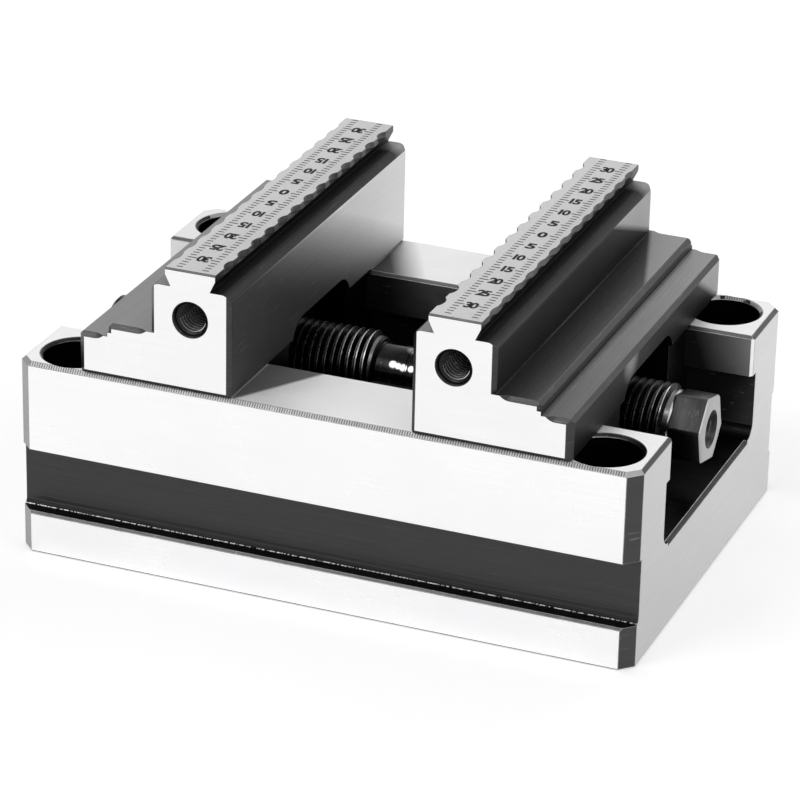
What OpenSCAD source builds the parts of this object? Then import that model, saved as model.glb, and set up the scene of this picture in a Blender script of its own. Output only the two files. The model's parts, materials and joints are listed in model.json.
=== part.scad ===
/* [Body] */
// Length of the body along the screw
body_len = 100; // [98:1:116]
// Width of the body and of the jaws
body_wid = 70; // [68:1:80]
// Height of the body
body_h = 32; // [31.5:0.1:34]
// Bevel of the upright corners
corner_bevel = 2; // [1.2:0.1:2.6]
// Bevel of the outer edges at the top
edge_bevel = 0.6; // [0.4:0.05:1]
// Bevel of the outer edges at the underside
foot_bevel = 0.2; // [0.1:0.05:0.5]

/* [Channel] */
// Width of the channel between its lips
mouth_wid = 40; // [38.5:0.5:41]
// Thickness of the lips that hold the jaws down
lip_t = 6.8; // [5.5:0.1:7.5]
// How far the slot reaches under each lip
lip_reach = 2; // [1:0.1:2.2]
// Bevel of the lip edges
lip_bevel = 0.5; // [0.2:0.05:0.8]
// Thickness of the floor
floor_t = 14.5; // [14:0.1:15]
// Radius between the floor and the slot walls
floor_fillet = 2.3; // [1:0.1:2.8]

/* [Side grooves] */
// Height of the clamping groove above the underside
groove_low = 6.9; // [5:0.1:8]
// Width of the clamping groove
groove_wid = 10.5; // [8:0.1:11]
// Depth of the clamping groove
groove_depth = 2.7; // [1.5:0.1:2.9]
// Radius in the lower corner of the groove
groove_fillet = 1; // [0.5:0.1:2.5]
// Bevel of the edge below the groove
groove_bevel = 0.4; // [0.2:0.05:0.8]

/* [Mounting holes] */
// Distance of the corner holes from the ends
bolt_end_gap = 7.5; // [7:0.1:9]
// Distance of the corner holes from the sides
bolt_side_gap = 6.5; // [6.4:0.1:6.8]
// Through diameter of the corner holes
bolt_d = 6.6; // [5.5:0.1:6.8]
// Counterbore diameter of the corner holes
bolt_head_d = 11; // [9.5:0.1:11]
// Counterbore depth of the corner holes
bolt_head_depth = 7; // [5:0.1:8]
// Bevel of the counterbore rims
bolt_rim = 0.5; // [0.2:0.05:0.7]

/* [Jaws] */
// Opening between the jaws at rest
jaw_gap = 28.8; // [20:0.1:40]
// Thickness of the jaw tower
tower_len = 13.1; // [11:0.1:14]
// Length of the upper step
step1_len = 7.1; // [6:0.1:9]
// Length of the lower step
step2_len = 4.9; // [4.5:0.1:7]
// Height of the tower shoulders above the body
shoulder_h = 16.6; // [15.5:0.1:24]
// Radius of the shoulder edges along the jaw
shoulder_round = 1.5; // [0.7:0.1:1.8]
// Height of the upper step above the body
step1_h = 8.6; // [7.8:0.1:9]
// Height of the lower step above the body
step2_h = 6.6; // [5.5:0.1:7]
// Width of the scale head on top
head_wid = 8.2; // [7.6:0.1:9]
// Height of the scale head over the shoulders
head_h = 2.85; // [2.2:0.05:4]
// Height of the straight edge band of the head
head_band = 1.05; // [0.6:0.05:1.5]
// Width of the head at its foot
neck_wid = 6.5; // [5.5:0.1:7]
// Spacing of the grip notches
notch_pitch = 5; // [4:0.5:6]
// Width of a grip notch
notch_wid = 3.4; // [2.4:0.1:3.8]
// Depth of the grip notches on the clamping side
notch_depth = 0.6; // [0.3:0.05:0.8]
// Depth of the grip notches on the outer side
outer_notch_depth = 0.35; // [0.2:0.05:0.8]
// Bevel of the jaw edges
jaw_bevel = 0.65; // [0.3:0.05:0.8]
// Bevel of the lower end edges of the jaw
low_bevel = 0.5; // [0.2:0.05:0.7]
// Bevel of the outer upright edge of the lower step
outer_bevel = 1; // [0.5:0.05:1.3]
// Radius that the bevel leaves in the inner corners
bevel_arc = 2.2; // [1.6:0.1:2.6]

/* [Jaw foot and tunnel] */
// How far the foot stands back from the jaw faces
foot_inset = 0.6; // [0.3:0.1:1.5]
// Gap between the foot and the channel floor
foot_gap = 0.7; // [0.4:0.1:1.2]
// Width of the tunnel through the jaw
tunnel_wid = 23; // [22.6:0.1:24]
// Height of the tunnel roof above the body top
tunnel_rise = 3; // [2:0.1:4]
// Radius of the upper tunnel corners
tunnel_arc = 4; // [2:0.1:5]

/* [Stop holes] */
// Core diameter of the threaded stop holes in the jaw ends
stop_d = 4.2; // [3.3:0.1:4.4]
// Depth of the stop holes
stop_depth = 12; // [8:0.5:16]
// Height of the stop holes above the body
stop_h = 11.65; // [11.2:0.05:12.2]
// Diameter of the countersink at the stop holes
stop_sink_d = 5.8; // [5.2:0.1:6.4]

/* [Lead screw] */
// Height of the screw axis above the underside
axis_h = 24.7; // [24.3:0.1:25]
// Outer diameter of the thread
thread_d = 12; // [11:0.1:12.2]
// Pitch of the thread
pitch = 1.25; // [1:0.25:1.75]
// Diameter of the bearing neck
bearing_d = 8.6; // [7:0.1:9]
// Length of the bearing neck
bearing_len = 8; // [7.6:0.1:9]
// Width of the drive hexagon across its flats
hex_flats = 10; // [8:0.5:10]
// Length of the drive hexagon
hex_len = 5.2; // [4:0.1:6]
// Turning of the hexagon at rest, in degrees
hex_turn = -13.6; // [-30:0.1:30]
// Diameter of the centre drilled in the hexagon
centre_d = 6; // [3:0.1:6.5]
// Diameter of the pilot on the far end
pilot_d = 8.8; // [6:0.1:9.5]
// Length of the pilot on the far end
pilot_len = 2.5; // [1.5:0.1:4]
// How far both screw ends stand back from the body ends
end_inset = 0.2; // [0.1:0.05:1]

/* [Nuts] */
// How far the nut stands back from the clamping face
nut_inset = 6; // [5.6:0.1:7]
// Length of the nut along the screw
nut_len = 13.5; // [12:0.1:14]
// Width of the nut flange under the foot
flange_wid = 37.6; // [37:0.1:38.4]
// Thickness of the nut flange
flange_t = 6.5; // [6:0.1:7]
// Distance between the two screws of a nut
nut_screw_gap = 29.6; // [29.2:0.1:30]
// Length of the nut screws under the head
nut_screw_len = 12; // [9:1:13]

/* [Centre block] */
// Width of the centre block across the channel
block_wid = 22; // [20:0.1:22]
// Depth of its seat in the floor
seat_depth = 1.5; // [0.8:0.1:2]
// Distance between the two screws of the block
block_screw_gap = 15.2; // [14.6:0.1:15.6]
// Length of the block screws under the head
block_screw_len = 16; // [13:1:17]

/* [Cap screws] */
// Thread size of the cap screws
cap_d = 4; // [3:0.5:4]
// Head diameter of the cap screws
cap_head_d = 7; // [5.5:0.1:7]
// Head height of the cap screws
cap_head_h = 4; // [3:0.1:4]
// Socket width across its flats
cap_socket = 3; // [2:0.5:3]

/* [Hidden] */
$fn = 64;

// Clearance of a sliding or running fit, on each side
slide_fit = 0.05;
// Clearance of a seated fit, on each side
seat_fit = 0.02;
// Clearance round a screw shank, on each side
screw_fit = 0.05;
// Clearance round a screw head, on each side
head_fit = 0.2;
// How far a screw head lies below its face
head_sink = 0.3;
// Overrun of the cuts
over = 1;
// Bevel of the small edges
fine_bevel = 0.25;
// Gap that keeps a bevel cutter off the wall beside it
cutter_gap = 0.05;

// Root of the thread as a share of the pitch
root_share = 0.6134;
// Half widths of the crest and root flats as shares of the pitch
crest_share = 0.0625;
root_flat_share = 0.125;
// Small end of a drilled centre as a share of its mouth
centre_share = 0.4;
// Depth of the socket as a share of the head height
socket_share = 0.5;

lip_low = body_h - lip_t;
slot_half = mouth_wid / 2 + lip_reach;
seat_z = floor_t - seat_depth;

jaw_low = body_h + slide_fit;
jaw_in = jaw_gap / 2;
tower_out = jaw_in + tower_len;
step1_out = tower_out + step1_len;
step2_out = step1_out + step2_len;
head_mid = jaw_in + tower_len / 2;
shoulder_z = jaw_low + shoulder_h;
step1_z = jaw_low + step1_h;
step2_z = jaw_low + step2_h;
head_top = shoulder_z + head_h;
band_low = head_top - head_band;
notch_count = floor((body_wid / 2 - notch_pitch / 2 - notch_wid / 2) / notch_pitch);

foot_low = floor_t + foot_gap;
foot_in = jaw_in + foot_inset;
foot_out = step2_out - foot_inset;
tunnel_top = body_h + tunnel_rise;
nut_in = jaw_in + nut_inset;

screw_end = body_len / 2 - end_inset;
thread_end = screw_end - hex_len;
pilot_end = screw_end - pilot_len;
root_d = thread_d - 2 * root_share * pitch;
block_len = bearing_len - 2 * slide_fit;

// Square bars along one axis whose corner cuts a bevel of the given leg
module bar_x(leg, length) {
    rotate([45, 0, 0])
        cube([length, leg * sqrt(2), leg * sqrt(2)], center = true);
}

module bar_y(leg, length) {
    rotate([0, 45, 0])
        cube([leg * sqrt(2), length, leg * sqrt(2)], center = true);
}

module bar_z(leg, length) {
    rotate([0, 0, 45])
        cube([leg * sqrt(2), leg * sqrt(2), length], center = true);
}

// Bevel bars between two places on the same line
module run_x(leg, x_from, x_to) {
    translate([(x_from + x_to) / 2, 0, 0])
        bar_x(leg, x_to - x_from);
}

module run_z(leg, z_from, z_to) {
    translate([0, 0, (z_from + z_to) / 2])
        bar_z(leg, z_to - z_from);
}

// Box given by its lowest and highest corner
module span(low, high) {
    translate(low)
        cube(high - low);
}

// Hexagonal prism along Z, measured across its flats
module hex_bar(flats, length) {
    linear_extrude(height = length)
        circle(d = flats / cos(30), $fn = 6);
}

// Rectangle whose lower and upper corners are cut off by the given legs
module cut_rect(wide, high, low_leg, top_leg) {
    half_w = wide / 2;
    half_h = high / 2;
    polygon([[half_w - low_leg, -half_h], [half_w, low_leg - half_h],
        [half_w, half_h - top_leg], [half_w - top_leg, half_h],
        [top_leg - half_w, half_h], [-half_w, half_h - top_leg],
        [-half_w, low_leg - half_h], [low_leg - half_w, -half_h]]);
}

// Upright prism of that outline across the body, with its width at the given turn
module cross_prism(wide, length, turn) {
    rotate([90, 0, turn])
        linear_extrude(height = length, center = true)
            translate([0, body_h / 2])
                cut_rect(wide, body_h, foot_bevel, edge_bevel);
}

// Outer form of the body, where each pair of edges is bevelled by one prism
module outer_block() {
    corner_wid = (body_len + body_wid - 2 * corner_bevel) / sqrt(2);
    intersection() {
        linear_extrude(height = body_h)
            cut_rect(body_len, body_wid, corner_bevel, corner_bevel);
        cross_prism(body_len, body_wid + 2 * over, 0);
        cross_prism(body_wid, body_len + 2 * over, 90);
        cross_prism(corner_wid, corner_wid, 45);
        cross_prism(corner_wid, corner_wid, -45);
    }
}

// Space of the channel: mouth, slot under the lips and rounded floor corners
module channel() {
    end_x = body_len / 2 + over;
    span([-end_x, -mouth_wid / 2, lip_low - lip_reach], [end_x, mouth_wid / 2, body_h + over]);
    span([-end_x, -slot_half, floor_t + floor_fillet], [end_x, slot_half, lip_low]);
    span([-end_x, floor_fillet - slot_half, floor_t], [end_x, slot_half - floor_fillet, lip_low]);
    for (sy = [-1, 1])
        translate([-end_x, sy * (slot_half - floor_fillet), floor_t + floor_fillet])
            rotate([0, 90, 0])
                cylinder(r = floor_fillet, h = 2 * end_x);
    for (sy = [-1, 1])
        translate([0, sy * mouth_wid / 2, body_h])
            bar_x(lip_bevel, 2 * end_x);
    for (sx = [-1, 1]) {
        for (sy = [-1, 1])
            translate([sx * body_len / 2, sy * mouth_wid / 2, 0])
                run_z(lip_bevel, lip_low, body_h + over);
        translate([sx * body_len / 2, 0, floor_t])
            bar_y(edge_bevel, 2 * (slot_half - floor_fillet));
    }
}

// Clamping groove along one side, cut from the face at y = 0 towards -Y
module side_groove() {
    end_x = body_len / 2 + over;
    difference() {
        span([-end_x, -groove_depth, groove_low], [end_x, over, groove_low + groove_wid]);
        difference() {
            span([-end_x - over, -groove_depth - over, groove_low - over],
                [end_x + over, groove_fillet - groove_depth, groove_low + groove_fillet]);
            translate([-end_x - over, groove_fillet - groove_depth, groove_low + groove_fillet])
                rotate([0, 90, 0])
                    cylinder(r = groove_fillet, h = 2 * (end_x + over));
        }
    }
    translate([0, 0, groove_low])
        bar_x(groove_bevel, 2 * end_x);
}

module mounting_holes() {
    for (sx = [-1, 1], sy = [-1, 1])
        translate([sx * (body_len / 2 - bolt_end_gap), sy * (body_wid / 2 - bolt_side_gap), 0]) {
            translate([0, 0, -over])
                cylinder(d = bolt_d, h = body_h + 2 * over);
            translate([0, 0, body_h - bolt_head_depth])
                cylinder(d = bolt_head_d, h = bolt_head_depth + over);
            translate([0, 0, body_h - bolt_rim])
                cylinder(d1 = bolt_head_d, d2 = bolt_head_d + 2 * (bolt_rim + over), h = bolt_rim + over);
        }
}

// Seat of the centre block and the holes of its screws
module block_seat() {
    half_x = block_len / 2 + seat_fit;
    half_y = block_wid / 2 + seat_fit;
    span([-half_x, -half_y, seat_z], [half_x, half_y, floor_t + over]);
    for (sy = [-1, 1])
        translate([0, sy * block_screw_gap / 2, -over]) {
            cylinder(d = cap_d + 2 * screw_fit, h = floor_t + over);
            cylinder(d = cap_head_d + 2 * head_fit, h = over + cap_head_h + head_sink);
        }
}

module body() {
    color([0.80, 0.81, 0.82])
        difference() {
            outer_block();
            channel();
            for (turn = [0, 180])
                rotate([0, 0, turn])
                    translate([0, body_wid / 2, 0])
                        side_groove();
            mounting_holes();
            block_seat();
        }
}

// Open half bearing that holds the screw at its neck
module centre_block() {
    block_top = axis_h;
    color([0.25, 0.25, 0.26])
        difference() {
            span([-block_len / 2, -block_wid / 2, seat_z], [block_len / 2, block_wid / 2, block_top]);
            translate([-block_len, 0, axis_h])
                rotate([0, 90, 0])
                    cylinder(d = bearing_d + 2 * slide_fit, h = 2 * block_len);
            for (sy = [-1, 1]) {
                translate([0, sy * block_wid / 2, block_top])
                    bar_x(jaw_bevel, 2 * block_len);
                translate([0, sy * block_screw_gap / 2, seat_z - over])
                    cylinder(d = cap_d + 2 * screw_fit, h = over + block_screw_hold() + fine_bevel);
            }
        }
}

// Length of the block screws inside the block
function block_screw_hold() = head_sink + cap_head_h + block_screw_len - seat_z;

// Cap screw that points up, with its head's lower face at z = 0
module cap_screw(length) {
    color([0.20, 0.20, 0.21])
        difference() {
            union() {
                cylinder(d1 = cap_head_d - 2 * fine_bevel, d2 = cap_head_d, h = fine_bevel);
                translate([0, 0, fine_bevel])
                    cylinder(d = cap_head_d, h = cap_head_h - fine_bevel);
                cylinder(d = cap_d, h = cap_head_h + length - 2 * fine_bevel);
                translate([0, 0, cap_head_h + length - 2 * fine_bevel])
                    cylinder(d1 = cap_d, d2 = cap_d - 4 * fine_bevel, h = 2 * fine_bevel);
            }
            translate([0, 0, -over])
                hex_bar(cap_socket, over + socket_share * cap_head_h);
        }
}

module block_screw(side) {
    translate([0, side * block_screw_gap / 2, head_sink])
        cap_screw(block_screw_len);
}

// Points of a thread, as rings, from one height to another: radius and height
function thread_points(low, high) =
    let (turns = floor((high - low) / pitch),
        first = low + ((high - low) - turns * pitch) / 2 + pitch / 2)
    [for (k = [0:turns - 1])
        let (middle = first + k * pitch)
        each [[root_d / 2, middle - pitch * (0.5 - root_flat_share)],
            [thread_d / 2, middle - pitch * crest_share],
            [thread_d / 2, middle + pitch * crest_share],
            [root_d / 2, middle + pitch * (0.5 - root_flat_share)]]];

// Everything round on the screw, from the pilot to the root of the hexagon
module screw_bar() {
    shoulder_x = bearing_len / 2;
    rotate([0, 90, 0])
        rotate_extrude()
            polygon(concat(
                [[0, -screw_end], [pilot_d / 2 - jaw_bevel, -screw_end],
                    [pilot_d / 2, -screw_end + jaw_bevel], [pilot_d / 2, -pilot_end],
                    [root_d / 2, -pilot_end]],
                thread_points(-pilot_end, -shoulder_x - pitch / 2),
                [[thread_d / 2 - fine_bevel, -shoulder_x - pitch / 2],
                    [thread_d / 2 - fine_bevel, -shoulder_x],
                    [bearing_d / 2, -shoulder_x], [bearing_d / 2, shoulder_x],
                    [thread_d / 2 - fine_bevel, shoulder_x],
                    [thread_d / 2 - fine_bevel, shoulder_x + pitch / 2]],
                thread_points(shoulder_x + pitch / 2, thread_end - pitch),
                [[thread_d / 2, thread_end - pitch], [thread_d / 2, thread_end - fine_bevel],
                    [thread_d / 2 - fine_bevel, thread_end], [0, thread_end]]));
}

// Drilled centre in the end of the hexagon
module drilled_centre() {
    small_d = centre_d * centre_share;
    cone_h = (centre_d - small_d) / 2;
    translate([screw_end - cone_h, 0, 0])
        rotate([0, 90, 0]) {
            cylinder(d1 = small_d, d2 = centre_d + 2 * over, h = cone_h + over);
            translate([0, 0, -cone_h])
                cylinder(d = small_d, h = 2 * cone_h);
        }
}

module lead_screw() {
    color([0.16, 0.16, 0.17])
        translate([0, 0, axis_h])
            difference() {
                union() {
                    screw_bar();
                    rotate([hex_turn, 0, 0])
                        translate([thread_end - fine_bevel, 0, 0])
                            rotate([0, 90, 0])
                                rotate([0, 0, 90])
                                    hex_bar(hex_flats, hex_len + fine_bevel);
                }
                drilled_centre();
            }
}

// Outline of the jaw above the body, as X and Z
module jaw_outline() {
    polygon([
        [jaw_in, jaw_low], [jaw_in, shoulder_z],
        [head_mid - neck_wid / 2, shoulder_z], [head_mid - head_wid / 2, band_low],
        [head_mid - head_wid / 2, head_top], [head_mid + head_wid / 2, head_top],
        [head_mid + head_wid / 2, band_low], [head_mid + neck_wid / 2, shoulder_z],
        [tower_out, shoulder_z], [tower_out, step1_z], [step1_out, step1_z],
        [step1_out, step2_z], [step2_out, step2_z], [step2_out, jaw_low]]);
}

// Guide of the jaw: neck between the lips and foot under them
module jaw_guide() {
    neck_half = mouth_wid / 2 - slide_fit;
    foot_half = slot_half - slide_fit;
    foot_top = lip_low - slide_fit;
    span([foot_in, -neck_half, foot_low], [foot_out, neck_half, (jaw_low + step2_z) / 2]);
    difference() {
        span([foot_in, -foot_half, foot_low], [foot_out, foot_half, foot_top]);
        for (sy = [-1, 1])
            translate([0, sy * foot_half, foot_low])
                run_x(floor_fillet, foot_in - over, foot_out + over);
    }
}

// Solid with the outline of the tunnel, drawn in by a gap on each side
module tunnel_form(x_from, x_to, z_low, gap) {
    half = tunnel_wid / 2 - gap;
    top = tunnel_top - gap;
    arc = tunnel_arc - gap;
    span([x_from, -half, z_low], [x_to, half, top - arc]);
    span([x_from, arc - half, z_low], [x_to, half - arc, top]);
    for (sy = [-1, 1])
        translate([x_from, sy * (half - arc), top - arc])
            rotate([0, 90, 0])
                cylinder(r = arc, h = x_to - x_from);
}

// Bevels along the jaw, on the edges that run across the body
module long_bevels() {
    length = body_wid + 2 * over;
    translate([step1_out, 0, step1_z])
        bar_y(jaw_bevel, length);
    translate([step2_out, 0, step2_z])
        bar_y(jaw_bevel, length);
    for (x = [jaw_in, step2_out])
        translate([x, 0, jaw_low])
            bar_y(fine_bevel, length);
}

// Corner that a round takes off a shoulder edge along Y, at a tower that lies towards +X
module shoulder_cut() {
    length = body_wid + 2 * over;
    difference() {
        span([-over, -length / 2, -shoulder_round], [shoulder_round, length / 2, cutter_gap]);
        translate([shoulder_round, 0, -shoulder_round])
            rotate([90, 0, 0])
                cylinder(r = shoulder_round, h = length + 2 * over, center = true);
    }
}

// Rounds of both shoulders
module shoulder_cuts() {
    translate([jaw_in, 0, shoulder_z])
        shoulder_cut();
    translate([tower_out, 0, shoulder_z])
        mirror([1, 0, 0])
            shoulder_cut();
}

// Bevel of a step's end edge, which stops in a round at the wall beside it
module step_bevel(wall_x, edge_x, z) {
    start_x = wall_x + bevel_arc + cutter_gap;
    translate([0, 0, z])
        run_x(jaw_bevel, start_x, edge_x + over);
    translate([start_x, -over, z + bevel_arc - jaw_bevel])
        rotate([-90, 0, 0])
            cylinder(r1 = bevel_arc + over, r2 = 0, h = bevel_arc + over);
}

// Bevels of one jaw end, cut at the face y = 0 of a jaw that lies towards +Y
module end_bevels() {
    translate([jaw_in, 0, 0])
        run_z(jaw_bevel, jaw_low - over, shoulder_z + over);
    translate([tower_out, 0, 0])
        run_z(jaw_bevel, step1_z, shoulder_z + over);
    step_bevel(tower_out, step1_out, step1_z);
    translate([step1_out, 0, 0])
        run_z(jaw_bevel, step2_z + jaw_bevel, step1_z + over);
    step_bevel(step1_out, step2_out, step2_z);
    translate([step2_out, 0, 0])
        run_z(outer_bevel, jaw_low - over, step2_z + over);
    translate([0, 0, jaw_low])
        run_x(low_bevel, jaw_in - over, step2_out + over);
    translate([0, 0, head_top])
        run_x(fine_bevel, head_mid - head_wid, head_mid + head_wid);
}

// Threaded hole in one jaw end, cut at the face y = 0 towards +Y
module stop_hole() {
    sink_depth = (stop_sink_d - stop_d) / 2;
    translate([head_mid, 0, jaw_low + stop_h])
        rotate([-90, 0, 0]) {
            translate([0, 0, -over])
                cylinder(d = stop_d, h = stop_depth + over);
            translate([0, 0, -over])
                cylinder(d1 = stop_sink_d + 2 * over, d2 = stop_d, h = sink_depth + over);
        }
}

// Grip notches along the edge of the head on one side, where side is -1 or 1
module grip_notches(side, depth) {
    notch_r = (pow(notch_wid / 2, 2) + pow(depth, 2)) / (2 * depth);
    for (k = [-notch_count:notch_count])
        translate([head_mid + side * (head_wid / 2 + notch_r - depth), k * notch_pitch, band_low])
            cylinder(r = notch_r, h = head_band + over);
}

// Seat of the nut flange and the holes of its screws
module nut_seat() {
    half_y = flange_wid / 2 + seat_fit;
    span([nut_in - seat_fit, -half_y, foot_low - over],
        [nut_in + nut_len + seat_fit, half_y, foot_low + flange_t]);
    for (sy = [-1, 1])
        translate([nut_in + nut_len / 2, sy * nut_screw_gap / 2, foot_low])
            cylinder(d = cap_d + 2 * screw_fit, h = head_sink + cap_head_h + nut_screw_len + over);
}

// The right jaw; the left one is the same part, turned half round
module jaw() {
    color([0.80, 0.81, 0.82])
        difference() {
            union() {
                rotate([90, 0, 0])
                    linear_extrude(height = body_wid, center = true)
                        jaw_outline();
                jaw_guide();
            }
            tunnel_form(jaw_in - over, step2_out + over, foot_low - over, 0);
            nut_seat();
            long_bevels();
            shoulder_cuts();
            grip_notches(-1, notch_depth);
            grip_notches(1, outer_notch_depth);
            for (turn = [0, 1])
                mirror([0, turn, 0])
                    translate([0, -body_wid / 2, 0]) {
                        end_bevels();
                        stop_hole();
                    }
        }
}

// Nut that fills the tunnel and is screwed up into the foot
module nut() {
    bore_r = thread_d / 2 + slide_fit;
    color([0.30, 0.30, 0.30])
        difference() {
            union() {
                tunnel_form(nut_in, nut_in + nut_len, foot_low, seat_fit);
                span([nut_in, -flange_wid / 2, foot_low],
                    [nut_in + nut_len, flange_wid / 2, foot_low + flange_t - seat_fit]);
            }
            translate([nut_in - over, 0, axis_h])
                rotate([0, 90, 0])
                    cylinder(r = bore_r, h = nut_len + 2 * over);
            for (turn = [0, 180])
                translate([nut_in + nut_len / 2, 0, axis_h])
                    rotate([0, 90, turn])
                        translate([0, 0, nut_len / 2 - jaw_bevel])
                            cylinder(r1 = bore_r, r2 = bore_r + jaw_bevel + over, h = jaw_bevel + over);
            for (sy = [-1, 1])
                translate([nut_in + nut_len / 2, sy * nut_screw_gap / 2, foot_low - over]) {
                    cylinder(d = cap_d + 2 * screw_fit, h = flange_t + 2 * over);
                    cylinder(d = cap_head_d + 2 * head_fit, h = over + head_sink + cap_head_h);
                }
        }
}

module nut_screw(side) {
    translate([nut_in + nut_len / 2, side * nut_screw_gap / 2, foot_low + head_sink])
        cap_screw(nut_screw_len);
}

// Turns a right hand piece into its left hand place
module left_side() {
    rotate([0, 0, 180])
        children();
}

body();
centre_block();
block_screw(-1);  // block_screw_front
block_screw(1);  // block_screw_rear
lead_screw();
left_side() jaw();  // left_jaw
left_side() nut();  // left_nut
left_side() nut_screw(1);  // left_nut_screw_front
left_side() nut_screw(-1);  // left_nut_screw_rear
jaw();  // right_jaw
nut();  // right_nut
nut_screw(-1);  // right_nut_screw_front
nut_screw(1);  // right_nut_screw_rear
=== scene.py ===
import bpy
import json
import math
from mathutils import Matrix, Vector

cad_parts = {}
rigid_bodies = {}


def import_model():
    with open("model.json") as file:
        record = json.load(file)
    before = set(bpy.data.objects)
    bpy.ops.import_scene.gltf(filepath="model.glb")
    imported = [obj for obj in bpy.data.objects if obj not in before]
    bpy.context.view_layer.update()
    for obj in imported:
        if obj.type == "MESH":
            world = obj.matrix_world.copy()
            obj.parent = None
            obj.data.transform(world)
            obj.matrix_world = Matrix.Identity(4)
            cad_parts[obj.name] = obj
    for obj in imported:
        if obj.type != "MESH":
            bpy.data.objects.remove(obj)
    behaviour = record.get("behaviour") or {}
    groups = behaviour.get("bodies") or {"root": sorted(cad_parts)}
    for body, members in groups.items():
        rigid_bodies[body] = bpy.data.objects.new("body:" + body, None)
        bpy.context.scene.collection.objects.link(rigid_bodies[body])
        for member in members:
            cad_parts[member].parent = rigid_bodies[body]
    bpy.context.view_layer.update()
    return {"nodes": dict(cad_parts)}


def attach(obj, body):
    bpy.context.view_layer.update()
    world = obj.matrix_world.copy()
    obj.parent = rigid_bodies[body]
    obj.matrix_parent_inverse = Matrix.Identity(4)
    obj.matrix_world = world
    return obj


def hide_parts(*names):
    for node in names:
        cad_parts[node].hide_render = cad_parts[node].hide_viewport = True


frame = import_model()
print("frame loaded")

mm = 0.001


# Small helpers for objects

meshCare = {"weldGap": 0.001, "lineWeldGap": 0.0001, "copyWeldGap": 0.002, "flatAngle": 0.4,
            "edgeAngle": 28, "edgeSegments": 2, "shadeAngle": 24, "sameRadius": 0.05}


def deselectAll():
    if bpy.context.object and bpy.context.object.mode != "OBJECT":
        bpy.ops.object.mode_set(mode="OBJECT")
    bpy.ops.object.select_all(action="DESELECT")


def makeActive(piece):
    deselectAll()
    piece.select_set(True)
    bpy.context.view_layer.objects.active = piece


def editAll(piece):
    makeActive(piece)
    bpy.ops.object.mode_set(mode="EDIT")
    bpy.ops.mesh.select_all(action="SELECT")


def endEdit():
    bpy.ops.object.mode_set(mode="OBJECT")


def applyPlace(piece):
    makeActive(piece)
    bpy.ops.object.transform_apply(location=True, rotation=True, scale=True)


def applyModifier(piece, kind, **values):
    makeActive(piece)
    modifier = piece.modifiers.new(kind.lower(), kind)
    for key, value in values.items():
        setattr(modifier, key, value)
    bpy.ops.object.modifier_apply(modifier=modifier.name)


def smoothByAngle(piece, degrees):
    makeActive(piece)
    bpy.ops.object.shade_smooth_by_angle(angle=math.radians(degrees))


def outwardNormals(piece, weldGap):
    editAll(piece)
    bpy.ops.mesh.remove_doubles(threshold=weldGap * mm)
    bpy.ops.mesh.normals_make_consistent(inside=False)
    endEdit()


def joinPieces(pieces, name):
    deselectAll()
    for piece in pieces:
        piece.select_set(True)
    bpy.context.view_layer.objects.active = pieces[0]
    bpy.ops.object.join()
    joined = bpy.context.object
    joined.name = name
    return joined


def cutAway(piece, cutter):
    applyModifier(piece, "BOOLEAN", operation="DIFFERENCE", solver="EXACT", object=cutter)
    bpy.data.objects.remove(cutter)


def drawLine(name, points, closed=False):
    deselectAll()
    bpy.ops.mesh.primitive_plane_add(size=mm)
    piece = bpy.context.object
    piece.name = name
    editAll(piece)
    bpy.ops.mesh.merge(type="CENTER")
    bpy.ops.transform.translate(value=Vector(points[0]) * mm)
    stops = points + points[:1] if closed else points
    for start, end in zip(stops, stops[1:]):
        step = (Vector(end) - Vector(start)) * mm
        bpy.ops.mesh.extrude_region_move(TRANSFORM_OT_translate={"value": step})
    if closed:
        bpy.ops.mesh.select_all(action="SELECT")
        bpy.ops.mesh.remove_doubles(threshold=meshCare["lineWeldGap"] * mm)
    endEdit()
    return piece


def lathe(name, points, steps=72):
    piece = drawLine(name, [(x, radius, 0) for x, radius in points])
    applyModifier(piece, "SCREW", axis="X", angle=2 * math.pi, screw_offset=0, steps=steps,
                  render_steps=steps, use_merge_vertices=True, merge_threshold=meshCare["weldGap"] * mm)
    outwardNormals(piece, meshCare["weldGap"])
    return piece


def helixRidge(name, outline, axis, pitch, turns, steps):
    piece = drawLine(name, outline, closed=True)
    applyModifier(piece, "SCREW", axis=axis, angle=2 * math.pi, screw_offset=pitch * mm, iterations=turns,
                  steps=steps, render_steps=steps)
    makeActive(piece)
    bpy.ops.object.mode_set(mode="EDIT")
    bpy.ops.mesh.select_all(action="DESELECT")
    bpy.ops.mesh.select_mode(type="EDGE")
    bpy.ops.mesh.select_non_manifold()
    bpy.ops.mesh.edge_face_add()
    bpy.ops.mesh.select_mode(type="VERT")
    endEdit()
    outwardNormals(piece, meshCare["weldGap"])
    return piece


def limitRadius(piece, limit):  # limit gives the largest radius at each place along the x axis
    for point in piece.data.vertices:
        radius = math.hypot(point.co.y, point.co.z)
        allowed = limit(point.co.x / mm) * mm
        if radius > allowed:
            point.co.y *= allowed / radius
            point.co.z *= allowed / radius


def growHole(piece, middle, height, fromRadius, toRadius):
    for point in piece.data.vertices:
        offset = Vector((point.co.x - middle * mm, point.co.z - height * mm))
        if abs(offset.length / mm - fromRadius) < meshCare["sameRadius"]:
            point.co.x = middle * mm + offset.x * toRadius / fromRadius
            point.co.z = height * mm + offset.y * toRadius / fromRadius


# Small helpers for shader nodes

def feed(tree, socket, value):  # another node's output is linked, a plain value is set
    if isinstance(value, bpy.types.NodeSocket):
        tree.links.new(value, socket)
    else:
        socket.default_value = value


def mathNode(tree, operation, *values):
    node = tree.nodes.new("ShaderNodeMath")
    node.operation = operation
    for socket, value in zip(node.inputs, values):
        feed(tree, socket, value)
    return node.outputs[0]


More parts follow.
